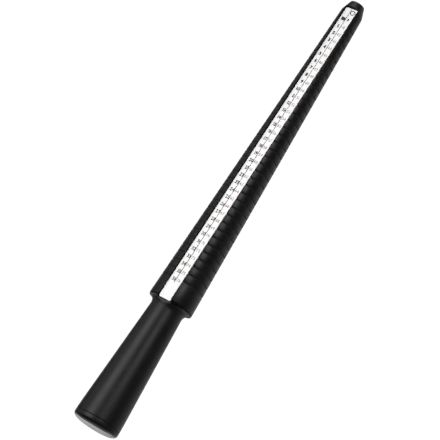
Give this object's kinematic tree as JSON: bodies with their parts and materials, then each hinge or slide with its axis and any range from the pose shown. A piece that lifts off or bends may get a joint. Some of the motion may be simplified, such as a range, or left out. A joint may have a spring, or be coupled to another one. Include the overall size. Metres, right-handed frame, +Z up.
{
  "type": "ring mandrel",
  "caption": "Tapered ring sizing stick with grooved size steps, a recessed scale strip and a flared handle closed by an end cap.",
  "frame": {"origin": "centre of the footprint, on the surface that the stick lies on", "axes": "+X runs along the stick from the butt of the handle toward the tip, +Z is up and is the side that carries the scale; the stick's own axis dips toward the tip by the taper's half angle, 1.954 degrees"},
  "size_m": [0.2656, 0.0252, 0.0274],
  "materials": {
    "barrel_plastic": "satin black moulded plastic",
    "handle_plastic": "semi-gloss black moulded plastic",
    "cap_plastic": "semi-gloss black moulded plastic",
    "strip_plastic": "white glossy plastic with a printed number scale",
    "screw_steel": "zinc plated",
    "washer_steel": "plain"
  },
  "bodies": {
    "root": {"barrel": "barrel_plastic", "handle": "handle_plastic", "end_cap": "cap_plastic", "scale_strip": "strip_plastic", "joint_screw": "screw_steel", "screw_washer": "washer_steel"}
  },
  "joints": []
}
